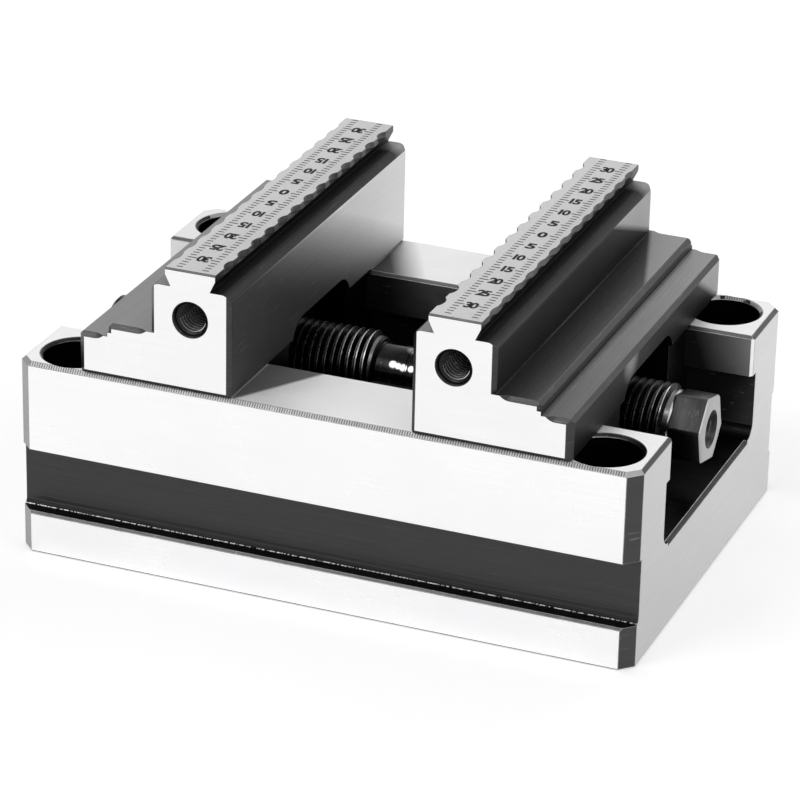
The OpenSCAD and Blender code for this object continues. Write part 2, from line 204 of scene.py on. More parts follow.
def vectorNode(tree, operation, first, second, result):
    node = tree.nodes.new("ShaderNodeVectorMath")
    node.operation = operation
    feed(tree, node.inputs[0], first)
    feed(tree, node.inputs[1], second)
    return node.outputs[result]


def rangeNode(tree, value, low, high, toLow=0.0, toHigh=1.0):
    node = tree.nodes.new("ShaderNodeMapRange")
    ends = {"From Min": low, "From Max": high, "To Min": toLow, "To Max": toHigh}
    for label, number in ends.items():
        feed(tree, node.inputs[label], number)
    feed(tree, node.inputs["Value"], value)
    return node.outputs[0]


def weighedSum(tree, first, firstShare, second, secondShare):
    firstPart = mathNode(tree, "MULTIPLY", first, firstShare)
    secondPart = mathNode(tree, "MULTIPLY", second, secondShare)
    return mathNode(tree, "ADD", firstPart, secondPart)


def mixTone(tree, factor, first, second, blend="MIX"):
    node = tree.nodes.new("ShaderNodeMix")
    node.data_type = "RGBA"
    node.blend_type = blend
    feed(tree, node.inputs["Factor"], factor)
    feed(tree, node.inputs[6], first)  # the colour sockets are the seventh and eighth
    feed(tree, node.inputs[7], second)
    return node.outputs[2]


def objectPlace(tree):
    return tree.nodes.new("ShaderNodeTexCoord").outputs["Object"]


def stretchedPlace(tree, stretch):
    return vectorNode(tree, "MULTIPLY", objectPlace(tree), stretch, "Vector")


def distanceAlong(tree, direction):
    return vectorNode(tree, "DOT_PRODUCT", objectPlace(tree), direction, "Value")


# Camera, floor, world and lamps

# The turn is in degrees, lens and sensor in millimetres, and places and sizes in metres
cameraView = {
    "place": (0.207181, -0.531844, 0.278362),
    "turn": (65.6583, -1.15555, 21.89605),
    "lens": 180.436,
    "sensor": 36,
    "nearest": 0.02,
    "farthest": 50,
}

studio = {
    "floorTone": 0.80,
    "floorLift": 0.42,
    "floorSize": 8,
    "floorHeight": -0.00001,
    "worldLight": 0.50,
    "worldSeen": 1.0,
    "lampAim": (0, 0, 0.025),
}

lampSet = [
    {"name": "keyLamp", "place": (-0.55, -0.75, 1.05), "size": 0.7, "power": 4.0},
    {"name": "sideLamp", "place": (0.95, -0.25, 0.75), "size": 0.6, "power": 1.6},
    {"name": "backLamp", "place": (0.1, 1.0, 0.9), "size": 0.9, "power": 2.4},
]


def addCamera():
    turn = [math.radians(angle) for angle in cameraView["turn"]]
    bpy.ops.object.camera_add(location=cameraView["place"], rotation=turn)
    camera = bpy.context.object
    camera.name = "photoCamera"
    camera.data.sensor_width = cameraView["sensor"]
    camera.data.lens = cameraView["lens"]
    camera.data.clip_start = cameraView["nearest"]
    camera.data.clip_end = cameraView["farthest"]
    bpy.context.scene.camera = camera


def seenDirectly(tree):  # 1 for the camera and for what shows in or through a piece, 0 for light that falls
    path = tree.nodes.new("ShaderNodeLightPath")
    either = mathNode(tree, "MAXIMUM", path.outputs["Is Camera Ray"], path.outputs["Is Glossy Ray"])
    return mathNode(tree, "MAXIMUM", either, path.outputs["Is Transmission Ray"])


def addWorld():
    world = bpy.data.worlds.new("studioWorld")
    bpy.context.scene.world = world
    world.use_nodes = True
    tree = world.node_tree
    background = tree.nodes["Background"]
    background.inputs["Color"].default_value = (1, 1, 1, 1)
    strength = rangeNode(tree, seenDirectly(tree), 0, 1, studio["worldLight"], studio["worldSeen"])
    feed(tree, background.inputs["Strength"], strength)


def addFloor():
    deselectAll()
    bpy.ops.mesh.primitive_plane_add(size=studio["floorSize"], location=(0, 0, studio["floorHeight"]))
    floor = bpy.context.object
    floor.name = "studioFloor"
    material = bpy.data.materials.new("paleFloor")
    material.use_nodes = True
    tree = material.node_tree
    tree.nodes.clear()
    output = tree.nodes.new("ShaderNodeOutputMaterial")
    diffuse = tree.nodes.new("ShaderNodeBsdfDiffuse")
    tone = studio["floorTone"]
    diffuse.inputs["Color"].default_value = (tone, tone, tone, 1)
    glow = tree.nodes.new("ShaderNodeEmission")
    lift = mathNode(tree, "MULTIPLY", seenDirectly(tree), studio["floorLift"])
    feed(tree, glow.inputs["Strength"], lift)
    both = tree.nodes.new("ShaderNodeAddShader")
    feed(tree, both.inputs[0], diffuse.outputs[0])
    feed(tree, both.inputs[1], glow.outputs[0])
    feed(tree, output.inputs["Surface"], both.outputs[0])
    floor.data.materials.append(material)


def addLamps():
    for lamp in lampSet:
        place = Vector(lamp["place"])
        aim = Vector(studio["lampAim"]) - place
        turn = aim.to_track_quat("-Z", "Y").to_euler()
        bpy.ops.object.light_add(type="AREA", location=place, rotation=turn)
        light = bpy.context.object
        light.name = lamp["name"]
        light.data.shape = "SQUARE"
        light.data.size = lamp["size"]
        light.data.energy = lamp["power"]


addCamera()
addWorld()
addFloor()
addLamps()
bpy.context.scene.view_settings.view_transform = "Standard"
print("camera, floor and lamps in place")


# Shared effects as node groups

# range: the part of the pattern that is spread from nothing to full
effectShape = {
    "streaks": {"detail": 6, "roughness": 0.6, "range": (0.3, 0.7)},
    "mottle": {"detail": 5, "roughness": 0.5, "range": (0.32, 0.68)},
    "scratches": {"detail": 2, "roughness": 0.5, "range": (0.66, 0.72)},
    "line": {"detail": 3, "roughness": 0.6, "range": (0.42, 0.56)},
    "bands": {"range": (-0.6, 0.6)},
    "spot": {"range": (1.0, 0.3)},
}


def newGroup(name, **inputs):
    group = bpy.data.node_groups.new(name, "ShaderNodeTree")
    for label, kind in inputs.items():
        group.interface.new_socket(label, in_out="INPUT", socket_type="NodeSocket" + kind)
    group.interface.new_socket("Value", in_out="OUTPUT", socket_type="NodeSocketFloat")
    return group, group.nodes.new("NodeGroupInput"), group.nodes.new("NodeGroupOutput")


def noisePattern(tree, name, place, scale=1.0):
    look = effectShape[name]
    noise = tree.nodes.new("ShaderNodeTexNoise")
    noise.inputs["Detail"].default_value = look["detail"]
    noise.inputs["Roughness"].default_value = look["roughness"]
    feed(tree, noise.inputs["Scale"], scale)
    feed(tree, noise.inputs["Vector"], place)
    return rangeNode(tree, noise.outputs["Fac"], *look["range"])


def buildGrindStreaks():  # long thin marks that a grinding wheel leaves
    group, given, result = newGroup("grindStreaks", Stretch="Vector")
    place = stretchedPlace(group, given.outputs["Stretch"])
    feed(group, result.inputs[0], noisePattern(group, "streaks", place))
    return group


def buildCloudMottle():  # soft patches, sized in metres
    group, given, result = newGroup("cloudMottle", Size="Float")
    scale = mathNode(group, "DIVIDE", 1.0, given.outputs["Size"])
    feed(group, result.inputs[0], noisePattern(group, "mottle", objectPlace(group), scale))
    return group


def buildFineScratches():  # sparse fine lines
    group, given, result = newGroup("fineScratches", Stretch="Vector")
    place = stretchedPlace(group, given.outputs["Stretch"])
    feed(group, result.inputs[0], noisePattern(group, "scratches", place))
    return group


def buildMillBands():  # regular cutter marks across a bevel
    group, given, result = newGroup("millBands", Direction="Vector", Pitch="Float")
    along = distanceAlong(group, given.outputs["Direction"])
    turns = mathNode(group, "DIVIDE", along, given.outputs["Pitch"])
    wave = mathNode(group, "SINE", mathNode(group, "MULTIPLY", turns, 2 * math.pi))
    feed(group, result.inputs[0], rangeNode(group, wave, *effectShape["bands"]["range"]))
    return group


def buildPlaceFade():  # slow change of tone from one place to another, which paints light and shade
    group, given, result = newGroup("paintedLightFade", Direction="Vector", Low="Float", High="Float")
    along = distanceAlong(group, given.outputs["Direction"])
    feed(group, result.inputs[0], rangeNode(group, along, given.outputs["Low"], given.outputs["High"]))
    return group


def buildBrokenLine():  # thin line, interrupted along its length: a tool's witness line on the undercut, and a painted highlight on the groove fillet and on the first step
    group, given, result = newGroup("toolLineAndGlint", Direction="Vector", Place="Float", Width="Float",
                                    Stretch="Vector")
    along = distanceAlong(group, given.outputs["Direction"])
    apart = mathNode(group, "ABSOLUTE", mathNode(group, "SUBTRACT", along, given.outputs["Place"]))
    near = mathNode(group, "LESS_THAN", apart, given.outputs["Width"])
    breaks = noisePattern(group, "line", stretchedPlace(group, given.outputs["Stretch"]))
    feed(group, result.inputs[0], mathNode(group, "MULTIPLY", near, breaks))
    return group


def buildRoundSpot():  # soft round patch of another tone: a painted highlight
    group, given, result = newGroup("highlightSpot", Centre="Vector", Radius="Float")
    apart = vectorNode(group, "DISTANCE", objectPlace(group), given.outputs["Centre"], "Value")
    share = mathNode(group, "DIVIDE", apart, given.outputs["Radius"])
    feed(group, result.inputs[0], rangeNode(group, share, *effectShape["spot"]["range"]))
    return group


effects = {
    "streaks": buildGrindStreaks(),
    "mottle": buildCloudMottle(),
    "scratches": buildFineScratches(),
    "bands": buildMillBands(),
    "fade": buildPlaceFade(),
    "line": buildBrokenLine(),
    "spot": buildRoundSpot(),
}


def placeEffect(tree, name, **values):
    node = tree.nodes.new("ShaderNodeGroup")
    node.node_tree = effects[name]
    for label, value in values.items():
        feed(tree, node.inputs[label], value)
    return node.outputs[0]


# Finishes of the steel
# tones: the darkest and the brightest grey, linear. rough: the lowest and the highest roughness.
# stretch: waves of the grain per metre along each axis. mottle: size of the soft patches in metres.
# scratch: strength of the scratches. metallic: 1 where none is given.
# fade: direction, start, end, share of the tone at the start, and a power where it isn't even. Fades paint
# shade and light.
# patches: direction, start, end, tone; they paint shade, reflections and highlights. spots: centre, radius,
# tone; painted highlights. bands: direction, pitch.
# line: direction, place, half its width, stretch, strength; a painted highlight, but a tool line on the
# undercut. Places and sizes are in metres.

finishes = {
    "groundSide": {"tones": (0.90, 0.98), "rough": (0.20, 0.30), "stretch": (60, 60, 3200)},
    # groundEnd is greyer than the sides and a little darker towards the front and the bottom: painted shade
    "groundEnd": {"tones": (0.60, 0.70), "rough": (0.28, 0.40), "stretch": (60, 60, 3200),
                  "fade": ((0, 1, 0.8), -0.03, 0.055, 0.80)},
    # Both tops are a little darker towards the right: painted shade. The dark wedge beside the left jaw is a
    # painted reflection of that jaw, and the last patch gives back the plain tone left of the jaw.
    "topFront": {"tones": (0.92, 0.99), "rough": (0.38, 0.48), "stretch": (40, 2600, 40), "metallic": 0.5,
                 "fade": ((-1, -0.1, 0), -0.010, 0.012, 0.90),
                 "patches": [((-1, 0.627, 0), -0.0080, -0.0071, 0.16), ((-1, 0, 0), 0.0143, 0.0146, 0.95)]},
    "topRear": {"tones": (0.90, 0.98), "rough": (0.38, 0.48), "stretch": (40, 2600, 40), "metallic": 0.5,
                "fade": ((-1, -0.1, 0), -0.010, 0.012, 0.85),
                "patches": [((-1, -0.5, 0), -0.0055, 0.0005, 0.06), ((-1, 0, 0), 0.0143, 0.0146, 0.85)]},
    "groundUnder": {"tones": (0.50, 0.62), "rough": (0.30, 0.42), "stretch": (40, 2600, 40)},
    # grooveWall and grooveFillet are dark for the dark reflection in the side groove, painted. The fillet
    # also darkens towards the ledge, painted shade, and its broken bright line is a painted highlight.
    "grooveWall": {"tones": (0.052, 0.064), "rough": (0.40, 0.52), "stretch": (50, 50, 2600),
                   "scratch": 0.03},
    "grooveFillet": {"tones": (0.040, 0.050), "rough": (0.45, 0.55), "stretch": (50, 900, 2600),
                     "scratch": 0.02, "fade": ((0, 0, 1), 0.0070, 0.0079, 0.15),
                     "line": ((0, 0, 1), 0.00703, 0.00006, (2800, 40, 40), 0.9)},
    "grooveLedge": {"tones": (0.006, 0.026), "rough": (0.45, 0.55), "stretch": (400, 2600, 900),
                    "scratch": 0.02},
    "grooveBevel": {"tones": (0.06, 0.11), "rough": (0.35, 0.45), "stretch": (500, 60, 60)},
    "channelDark": {"tones": (0.009, 0.017), "rough": (0.35, 0.5), "stretch": (60, 900, 900),
                    "scratch": 0.03},
    # lipWall changes tone along the wall, dark on the left and under the right jaw and lighter at both ends:
    # painted shade and reflection.
    "lipWall": {"tones": (0.14, 0.22), "rough": (0.42, 0.52), "stretch": (160, 160, 900), "mottle": 0.006,
                "metallic": 0.6, "fade": ((1, 0, 0.1), -0.010, 0.0, 0.12, 1.6),
                "patches": [((1, 0, 0), 0.030, 0.031, 0.024), ((1, 0, 0.35), 0.0510, 0.0605, 0.38),
                            ((-1, 0, 0), 0.0378, 0.0384, 0.95)]},
    "lipEnd": {"tones": (0.78, 0.90), "rough": (0.22, 0.32), "stretch": (60, 60, 1600)},
    # slotWall darkens away from the open right end of the slot: painted shade.
    "slotWall": {"tones": (0.045, 0.075), "rough": (0.42, 0.52), "stretch": (160, 160, 700),
                 "mottle": 0.005, "metallic": 0.5, "fade": ((1, 0, -0.3), 0.038, 0.0435, 0.3, 2)},
    "floorBevel": {"tones": (0.055, 0.080), "rough": (0.40, 0.50), "stretch": (60, 900, 60),
                   "metallic": 0.2},
    "hatchedBevel": {"tones": (0.03, 0.34), "rough": (0.3, 0.45), "stretch": (900, 60, 60),
                     "bands": ((1, 0, 0), 0.0004)},
    "darkBevel": {"tones": (0.060, 0.095), "rough": (0.30, 0.42), "stretch": (60, 60, 2600)},
    "cornerBevel": {"tones": (0.060, 0.072), "rough": (0.30, 0.42), "stretch": (60, 60, 400)},
    "paleBevel": {"tones": (0.25, 0.31), "rough": (0.28, 0.38), "stretch": (60, 60, 2600)},
    "boreDark": {"tones": (0.004, 0.010), "rough": (0.35, 0.5), "stretch": (60, 60, 2600),
                 "scratch": 0.04},
    "boreRim": {"tones": (0.010, 0.040), "rough": (0.3, 0.45), "stretch": (400, 400, 400)},
    # holeCrest is a pale matt crest that the key lamp lights: a painted highlight on the lower crests of the
    # jaw holes.
    "holeCrest": {"tones": (0.90, 0.99), "rough": (0.2, 0.3), "stretch": (400, 400, 400),
                  "metallic": 0.0},
    # clampFace is much darker towards the front and the bottom: painted reflection and shade.
    "clampFace": {"tones": (0.84, 0.93), "rough": (0.46, 0.54), "stretch": (60, 60, 2600),
                  "metallic": 0.35, "fade": ((0, 1, 2.2), 0.072, 0.111, 0.092, 2.15)},
    "jawEnd": {"tones": (0.86, 0.94), "rough": (0.20, 0.30), "stretch": (60, 60, 3200)},
    "scaleFace": {"tones": (0.60, 0.68), "rough": (0.52, 0.64), "stretch": (1500, 1500, 1500),
                  "metallic": 0.3, "scratch": 0.05},
    "notchWall": {"tones": (0.06, 0.15), "rough": (0.35, 0.5), "stretch": (200, 200, 1800)},
    "underCut": {"tones": (0.004, 0.008), "rough": (0.35, 0.5), "stretch": (60, 60, 2600),
                 "line": ((0, 0, 1), 0.0493, 0.00005, (900, 60, 900), 0.22)},
    # The dark shoulder finish and the pale one below are shaded and lit copies of one finish: painted shade
    # and light. The light stretch at the rear end is a painted highlight.
    "shoulder": {"tones": (0.009, 0.013), "rough": (0.45, 0.55), "stretch": (2600, 60, 60),
                 "scratch": 0.02, "metallic": 0.5, "patches": [((0, 1, 0), 0.0305, 0.0335, 0.27)]},
    "shoulderLitCopy": {"tones": (0.21, 0.26), "rough": (0.45, 0.55), "stretch": (2600, 60, 60),
                     "metallic": 0.5},
    # shoulderRound lightens down the round into a soft band, a painted highlight, with the same painted
    # highlight at the rear end.
    "shoulderRound": {"tones": (0.042, 0.056), "rough": (0.45, 0.55), "stretch": (600, 60, 600),
                      "scratch": 0.02, "metallic": 0.5, "fade": ((0, 0, -1), -0.04855, -0.04795, 0.30),
                      "patches": [((0, 1, 0), 0.0305, 0.0335, 0.27)]},
    # The light stretch at the rear end of towerFace is a painted reflection.
    "towerFace": {"tones": (0.016, 0.022), "rough": (0.45, 0.55), "stretch": (60, 60, 2600),
                  "scratch": 0.02, "metallic": 0.5, "patches": [((0, 1, 2.55), 0.1375, 0.1405, 0.45)]},
    # stepOne is the right jaw's shaded copy of the first step: painted shade. Its fade darkens towards the
    # tower, painted shade; the light stretch at the rear is a painted reflection, and the thin bright line
    # at the tower's foot a painted highlight.
    "stepOne": {"tones": (0.085, 0.105), "rough": (0.45, 0.55), "stretch": (2600, 60, 60),
                "scratch": 0.03, "metallic": 0.5, "fade": ((1, 0, 0), 0.0285, 0.0346, 0.25, 3),
                "patches": [((3.4, 1, 0), 0.1275, 0.1300, 0.27)],
                "line": ((1, 0, 0), 0.02762, 0.00010, (30, 30, 30), 0.10)},
    # stepTwo is the right jaw's shaded copy of the second step, darker towards the front: painted shade.
    "stepTwo": {"tones": (0.22, 0.30), "rough": (0.42, 0.50), "stretch": (2600, 60, 60),
                "scratch": 0.04, "metallic": 0.5, "fade": ((0.15, 1, 0), -0.03, 0.036, 0.5)},
    # The left jaw's steps get this pale finish: the lit copy of the steps, painted light.
    "stepLitCopy": {"tones": (0.25, 0.31), "rough": (0.45, 0.55), "stretch": (2600, 60, 60),
                 "scratch": 0.03, "metallic": 0.5},
    # stepFace darkens towards its foot, where it meets the lower step: painted shade in the crease.
    "stepFace": {"tones": (0.055, 0.10), "rough": (0.42, 0.52), "stretch": (60, 60, 2600),
                 "metallic": 0.5, "fade": ((0, 0, 1), 0.0387, 0.0396, 0.1, 0.6)},
    # outerFace darkens towards its foot by the body, painted shade; the light stretch at the upper rear is a
    # painted reflection and the round light spot a painted highlight.
    "outerFace": {"tones": (0.028, 0.046), "rough": (0.42, 0.52), "stretch": (60, 60, 2600),
                  "scratch": 0.04, "metallic": 0.5, "fade": ((0, 0, 1), 0.033, 0.037, 0.35),
                  "patches": [((0, 1, 1.7), 0.0868, 0.0893, 0.44)],
                  "spots": [((0.0395, -0.009, 0.0379), 0.0038, 0.30)]},
    "jawBevel": {"tones": (0.045, 0.070), "rough": (0.28, 0.40), "stretch": (60, 60, 2600)},
    # The thin rounded edges of the body: wear, and a painted highlight where they run along dark faces.
    "edgeWearAndSheen": {"tones": (0.16, 0.46), "rough": (0.22, 0.34), "stretch": (700, 700, 700)},
    "softEdge": {"tones": (0.03, 0.10), "rough": (0.26, 0.38), "stretch": (700, 700, 700)},
    "blackSteel": {"tones": (0.010, 0.022), "rough": (0.22, 0.36), "stretch": (900, 900, 900)},
    # threadRoot gives the thread roots a lighter line: painted highlight.
    "threadRoot": {"tones": (0.04, 0.18), "rough": (0.20, 0.34), "stretch": (260, 90, 260),
                   "mottle": 0.004},
    # The bright crests of threadCrest are painted highlights; the next finish, for the crests near the hex,
    # is wear and painted highlight.
    "threadCrest": {"tones": (0.30, 0.85), "rough": (0.22, 0.34), "stretch": (260, 90, 260),
                    "mottle": 0.004},
    "crestWearAndSheen": {"tones": (0.22, 0.75), "rough": (0.18, 0.28), "stretch": (500, 120, 300),
                  "mottle": 0.003},
    # The round light spots of neckSteel are painted highlights.
    "neckSteel": {"tones": (0.004, 0.024), "rough": (0.14, 0.24), "stretch": (500, 260, 260),
                  "mottle": 0.003,
                  "spots": [((-0.0010, -0.0033, 0.0275), 0.0007, 0.90),
                            ((-0.0001, -0.0033, 0.0273), 0.0006, 0.70),
                            ((0.0008, -0.0034, 0.0272), 0.0007, 0.90),
                            ((0.0021, -0.0034, 0.0272), 0.0006, 0.90),
                            ((0.0014, 0.0, 0.0290), 0.0014, 0.30)]},
    "hexFlat": {"tones": (0.026, 0.060), "rough": (0.26, 0.38), "stretch": (900, 300, 300),
                "scratch": 0.05},
    "hexEnd": {"tones": (0.34, 0.42), "rough": (0.28, 0.40), "stretch": (60, 900, 900)},
    "centreWall": {"tones": (0.006, 0.060), "rough": (0.2, 0.34), "stretch": (1600, 200, 200),
                   "mottle": 0.003},
    "nutSteel": {"tones": (0.05, 0.08), "rough": (0.35, 0.50), "stretch": (600, 600, 600)},
    "markPaint": {"tones": (0.022, 0.045), "rough": (0.55, 0.70), "stretch": (900, 900, 900),
                  "metallic": 0.0, "scratch": 0.03},
}

# What all finishes share, or take where they say nothing of their own
steelLook = {"specular": 0.05, "blueShare": 1.01, "metallic": 1.0, "mottle": 0.012, "streakShare": 0.6,
             "mottleShare": 0.4, "bandShare": 0.7, "underBandShare": 0.3, "scratch": 0.10,
             "scratchStretch": 2.5, "scratchTone": 0.85, "lineTone": 0.9, "bumpStrength": 0.5,
             "bumpDepth": 0.04}


def steelGrey(tone):
    return (tone, tone, tone * steelLook["blueShare"], 1)


def makeFinish(name):
    look = {**steelLook, **finishes[name]}
    material = bpy.data.materials.new(name)
    material.use_nodes = True
    tree = material.node_tree
    shader = tree.nodes["Principled BSDF"]
    shader.inputs["Metallic"].default_value = look["metallic"]
    shader.inputs["Specular IOR Level"].default_value = look["specular"]
    streaks = placeEffect(tree, "streaks", Stretch=look["stretch"])
    mottle = placeEffect(tree, "mottle", Size=look["mottle"])
    pattern = weighedSum(tree, streaks, look["streakShare"], mottle, look["mottleShare"])
    if "bands" in look:
        direction, pitch = look["bands"]
        bands = placeEffect(tree, "bands", Direction=direction, Pitch=pitch)
        pattern = weighedSum(tree, bands, look["bandShare"], pattern, look["underBandShare"])
    low, high = look["tones"]
    tone = mixTone(tree, pattern, steelGrey(low), steelGrey(high))
    # the fade, the patches and the spots paint light and shade by place
    if "fade" in look:
        direction, start, end, share, *power = look["fade"]
        fade = placeEffect(tree, "fade", Direction=direction, Low=start, High=end)
        if power:
            fade = mathNode(tree, "POWER", fade, power[0])
        tone = mixTone(tree, 1.0, tone, rangeNode(tree, fade, 0, 1, share, 1), "MULTIPLY")
    for direction, start, end, patchTone in look.get("patches", []):
        patch = placeEffect(tree, "fade", Direction=direction, Low=start, High=end)
        tone = mixTone(tree, patch, tone, steelGrey(patchTone))
    for centre, radius, spotTone in look.get("spots", []):
        spot = placeEffect(tree, "spot", Centre=centre, Radius=radius)
        tone = mixTone(tree, spot, tone, steelGrey(spotTone))
    scratchStretch = tuple(look["scratchStretch"] * number for number in look["stretch"])
    scratches = placeEffect(tree, "scratches", Stretch=scratchStretch)
    scratched = mathNode(tree, "MULTIPLY", scratches, look["scratch"])
    tone = mixTone(tree, scratched, tone, steelGrey(look["scratchTone"]))
    # the broken line is a painted highlight, except on the undercut, where it is a tool line
    if "line" in look:
        direction, place, width, stretch, strength = look["line"]
        line = placeEffect(tree, "line", Direction=direction, Place=place, Width=width, Stretch=stretch)
        tone = mixTone(tree, mathNode(tree, "MULTIPLY", line, strength), tone, steelGrey(look["lineTone"]))
    tree.links.new(tone, shader.inputs["Base Color"])
    smooth, dull = look["rough"]
    tree.links.new(rangeNode(tree, mottle, 0.0, 1.0, smooth, dull), shader.inputs["Roughness"])
    bump = tree.nodes.new("ShaderNodeBump")
    bump.inputs["Strength"].default_value = look["bumpStrength"]
    bump.inputs["Distance"].default_value = look["bumpDepth"] * mm
    tree.links.new(streaks, bump.inputs["Height"])
    tree.links.new(bump.outputs[0], shader.inputs["Normal"])
    return material


materials = {name: makeFinish(name) for name in finishes}
print("finishes made:", len(materials))


# How a piece gets its shell and its finishes

# How far a face's direction points along an axis, from 1 for square to it down to 0
square, level, slanted, leaning, upright = 0.95, 0.9, 0.6, 0.3, 0.1
near = 0.1  # how close in mm a face is to the place that its rule names


def giveFinishes(piece, names, rule):
    piece.data.materials.clear()
    for name in names:
        piece.data.materials.append(materials[name])
    for face in piece.data.polygons:
        face.material_index = names.index(rule(face.center / mm, face.normal))


def dressedCopy(node, name, names, rule, edgeWidth, edgeFinish):
    makeActive(frame["nodes"][node])
    bpy.ops.object.duplicate()
    piece = bpy.context.object
    bpy.ops.object.parent_clear(type="CLEAR_KEEP_TRANSFORM")
    piece.name = name
    bpy.ops.mesh.customdata_custom_splitnormals_clear()
    editAll(piece)
    bpy.ops.mesh.remove_doubles(threshold=meshCare["copyWeldGap"] * mm)
    bpy.ops.mesh.dissolve_limited(angle_limit=math.radians(meshCare["flatAngle"]), delimit={"NORMAL"})
    endEdit()
    giveFinishes(piece, names + [edgeFinish], rule)
    applyModifier(piece, "BEVEL", width=edgeWidth * mm, segments=meshCare["edgeSegments"],
                  limit_method="ANGLE", angle_limit=math.radians(meshCare["edgeAngle"]),
                  use_clamp_overlap=False, material=len(names))
    smoothByAngle(piece, meshCare["shadeAngle"])
    applyModifier(piece, "WEIGHTED_NORMAL", keep_sharp=True)
    return piece


def seat(piece, bodyName, slotName, *nodes):
    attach(piece, bodyName)
    if nodes:
        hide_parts(*nodes)


# Body

# Places in mm from the middle and the underside. A reach is how far a finish goes past its place.
bodyShape = {"halfLength": 50, "halfWidth": 35, "height": 32, "edgeWidth": 0.06, "midHeight": 20,
             "bevelReach": 1, "cornerX": 47, "cornerY": 32, "capY": 30, "upperEdge": 31, "mouthHalf": 20,
             "slotReach": 1, "lipLow": 25.2, "floorBevelLow": 10, "floorBevelHigh": 20,
             "grooveWall": 32.3, "wallReach": 0.2, "grooveLow": 5, "grooveHigh": 18, "ledgeHigh": 7.3,
             "ledgeOut": 34, "holeX": 42.5, "holeY": 28.5, "holeReach": 6.2, "rimLow": 31.4}
bodyFinishes = ["channelDark", "groundSide", "groundEnd", "topFront", "topRear", "groundUnder",
                "grooveWall", "grooveFillet", "grooveLedge", "grooveBevel", "lipWall", "lipEnd",
                "slotWall", "hatchedBevel", "darkBevel", "floorBevel", "cornerBevel", "paleBevel",
                "boreDark", "boreRim"]


def bodyRule(centre, normal):
    look = bodyShape
    x, y, z = abs(centre.x), abs(centre.y), centre.z
    nx, ny, nz = abs(normal.x), abs(normal.y), abs(normal.z)
    if nx > square and x > look["halfLength"] - near:
        return "groundEnd"
    if ny > square and y > look["halfWidth"] - near:
        return "groundSide"
    if nz > square and z > look["height"] - near:
        return "topFront" if centre.y < 0 else "topRear"
    if nz > square and z < near:
        return "groundUnder"
    if min(nx, ny, nz) > leaning and y > look["capY"]:
        return "paleBevel"
    # The corner bevels at the right end get the dark finish and those at the left end the pale one: shaded
    # and lit copies, painted shade and light.
    if min(nx, ny) > slanted and nz < upright and y > look["cornerY"] and x > look["cornerX"]:
        return "cornerBevel" if centre.x > 0 else "paleBevel"
    isSideEdge = min(ny, nz) > slanted and y > look["halfWidth"] - look["bevelReach"]
    if isSideEdge and z > look["midHeight"]:
        return "hatchedBevel"
    if isSideEdge and z < look["bevelReach"]:
        return "darkBevel"
    if y > look["grooveWall"] - look["wallReach"] and look["grooveLow"] < z < look["grooveHigh"]:
        if ny > square:
            return "grooveWall"
        if nz > level:
            return "grooveLedge"
        return "grooveBevel" if z < look["ledgeHigh"] and y > look["ledgeOut"] else "grooveFillet"
    if math.hypot(x - look["holeX"], y - look["holeY"]) < look["holeReach"] and z > near:
        return "boreRim" if nz > leaning and z > look["rimLow"] else "boreDark"
    if min(nx, nz) > slanted:
        return "floorBevel" if look["floorBevelLow"] < z < look["floorBevelHigh"] else "darkBevel"
    if min(nx, ny) > slanted and z > look["midHeight"]:
        return "lipEnd"
    if ny > square and abs(y - look["mouthHalf"]) < near:
        return "lipWall"
    if min(ny, nz) > slanted and z > look["upperEdge"]:
        return "darkBevel"
    if ny > square and y > look["mouthHalf"] + look["slotReach"] and z < look["lipLow"]:
        return "slotWall"
    return "channelDark"


body = dressedCopy("body", "bodyShell", bodyFinishes, bodyRule, bodyShape["edgeWidth"], "edgeWearAndSheen")
seat(body, "base", "ground_steel", "body")
print("body dressed")


# Jaws

jawShape = {"inner": 14.4, "towerOut": 27.5, "headMiddle": 20.95, "top": 51.5, "bandLow": 50.45,
            "shoulder": 48.65, "shoulderReach": 0.15, "shoulderGap": 0.02, "roundLow": 47,
            "roundLean": 0.15, "stepOne": 40.65, "stepTwo": 38.65, "stepOneOut": 34.6, "stepReach": 1,
            "low": 32.05, "halfWidth": 35, "endFace": 34.2, "footOut": 11, "tunnelTop": 35.5,
            "edgeWidth": 0.05, "markDepth": 0.02, "topReach": 0.01}
jawFinishes = ["channelDark", "clampFace", "jawEnd", "scaleFace", "notchWall", "underCut", "shoulder",
               "shoulderLitCopy", "shoulderRound", "towerFace", "stepOne", "stepTwo", "stepLitCopy",
               "stepFace", "outerFace", "jawBevel", "boreDark", "boreRim"]
holeShape = {"height": 43.7, "core": 2.1, "wall": 2.52, "reach": 3, "start": 20, "rimStart": 33,
             "pitch": 0.8, "turns": 13, "steps": 36, "sink": 0.05, "footShare": 0.9, "crestShare": 0.14,
             "inset": 0.15, "depth": 11.2, "mouth": 2.95, "mouthGap": 0.1, "under": 0.02,
             "shadeAngle": 30, "crestBand": 0.12, "paleCrestHeight": -0.3}


